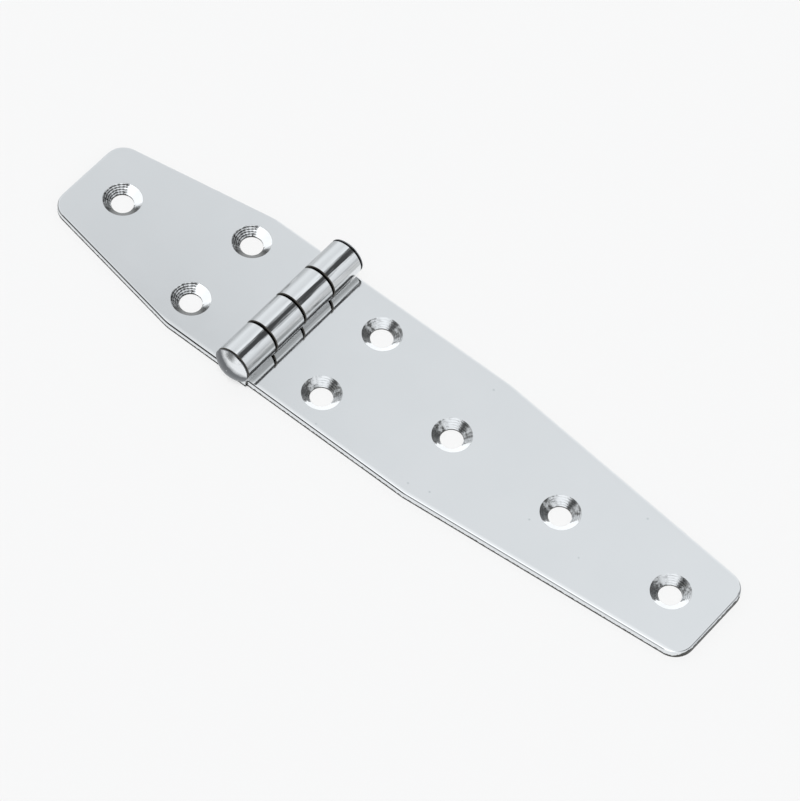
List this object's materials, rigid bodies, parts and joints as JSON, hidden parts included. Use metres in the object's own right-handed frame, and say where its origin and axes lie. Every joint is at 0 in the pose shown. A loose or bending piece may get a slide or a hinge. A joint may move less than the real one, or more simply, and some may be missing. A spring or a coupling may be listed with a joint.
{
  "type": "strap hinge",
  "caption": "Open strap hinge of polished stainless sheet: a long and a short tapered leaf with rolled knuckles on a domed-head pin, both with countersunk screw holes.",
  "frame": {"origin": "under the middle of the open hinge, in the plane of the backs of both leaves", "axes": "+X along the long leaf, away from the pin; +Y along the pin; +Z out of the front faces, the side the knuckles are rolled to"},
  "size_m": [0.18, 0.0434, 0.0098],
  "materials": {
    "polished_sheet": "mirror-polished stainless sheet",
    "pin_steel": "polished stainless pin, domed heads"
  },
  "bodies": {
    "long_leaf": {"long_leaf": "polished_sheet", "hinge_pin": "pin_steel"},
    "short_leaf": {"short_leaf": "polished_sheet"}
  },
  "joints": [
    {"name": "leaf_swing", "type": "hinge", "parent": "long_leaf", "child": "short_leaf", "pos_m": [-0.0296, 0, 0.00525], "axis": [0, 1, 0], "range_deg": [-45, 185]}
  ]
}
